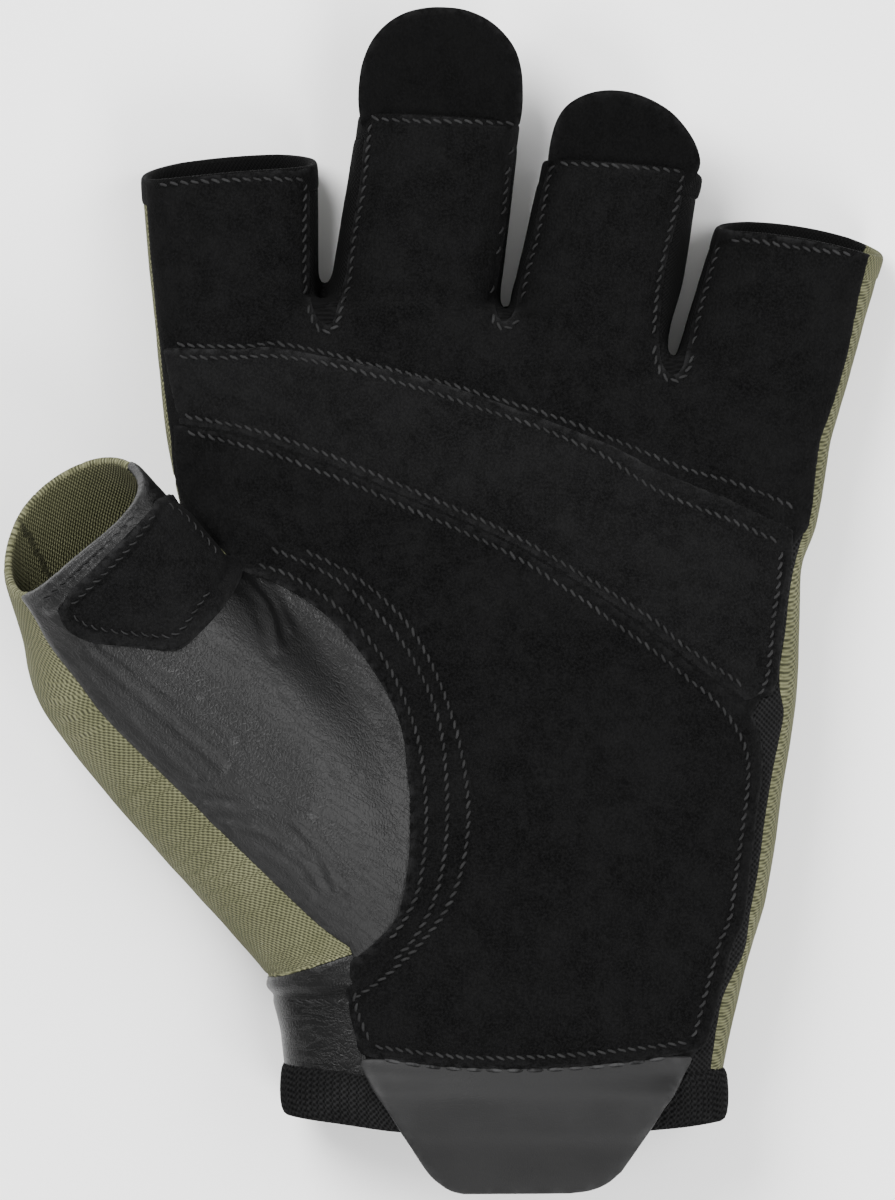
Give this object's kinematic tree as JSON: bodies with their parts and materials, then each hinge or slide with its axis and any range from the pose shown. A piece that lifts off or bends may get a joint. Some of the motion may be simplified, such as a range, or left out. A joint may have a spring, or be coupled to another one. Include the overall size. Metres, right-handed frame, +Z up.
{
  "type": "weightlifting glove",
  "caption": "Open-fingered weightlifting glove for the left hand: padded suede palm, leather thumb, stretch knit back, elastic cuff and pull tabs.",
  "frame": {"origin": "middle of the glove's footprint, on the surface that its back lies on", "axes": "+X across the palm from the thumb to the little finger, +Y towards the fingertips, +Z up, the way the palm faces"},
  "size_m": [0.1302, 0.1744, 0.0429],
  "materials": {
    "olive_knit": "fine ribbed knit, matt",
    "black_suede": "suede, napped and matt",
    "grain_leather": "fine grain, slightly creased, satin",
    "tab_leather": "smooth, fine grain, satin",
    "black_knit": "stretch knit, matt",
    "elastic": "woven elastic, ribbed, matt"
  },
  "bodies": {
    "root": {"back_knit": "olive_knit", "thumb_knit": "olive_knit", "palm_suede": "black_suede", "knuckle_pad": "black_suede", "heel_pad": "black_suede", "thumb_patch": "black_suede", "thumb_leather": "grain_leather", "wrist_leather": "grain_leather", "middle_tab": "black_suede", "ring_tab": "black_suede", "heel_tab": "tab_leather", "index_binding": "black_knit", "middle_binding": "black_knit", "ring_binding": "black_knit", "little_binding": "black_knit", "fourchette_1": "black_knit", "fourchette_2": "black_knit", "fourchette_3": "black_knit", "side_gusset": "elastic", "cuff_band": "elastic"}
  },
  "joints": []
}
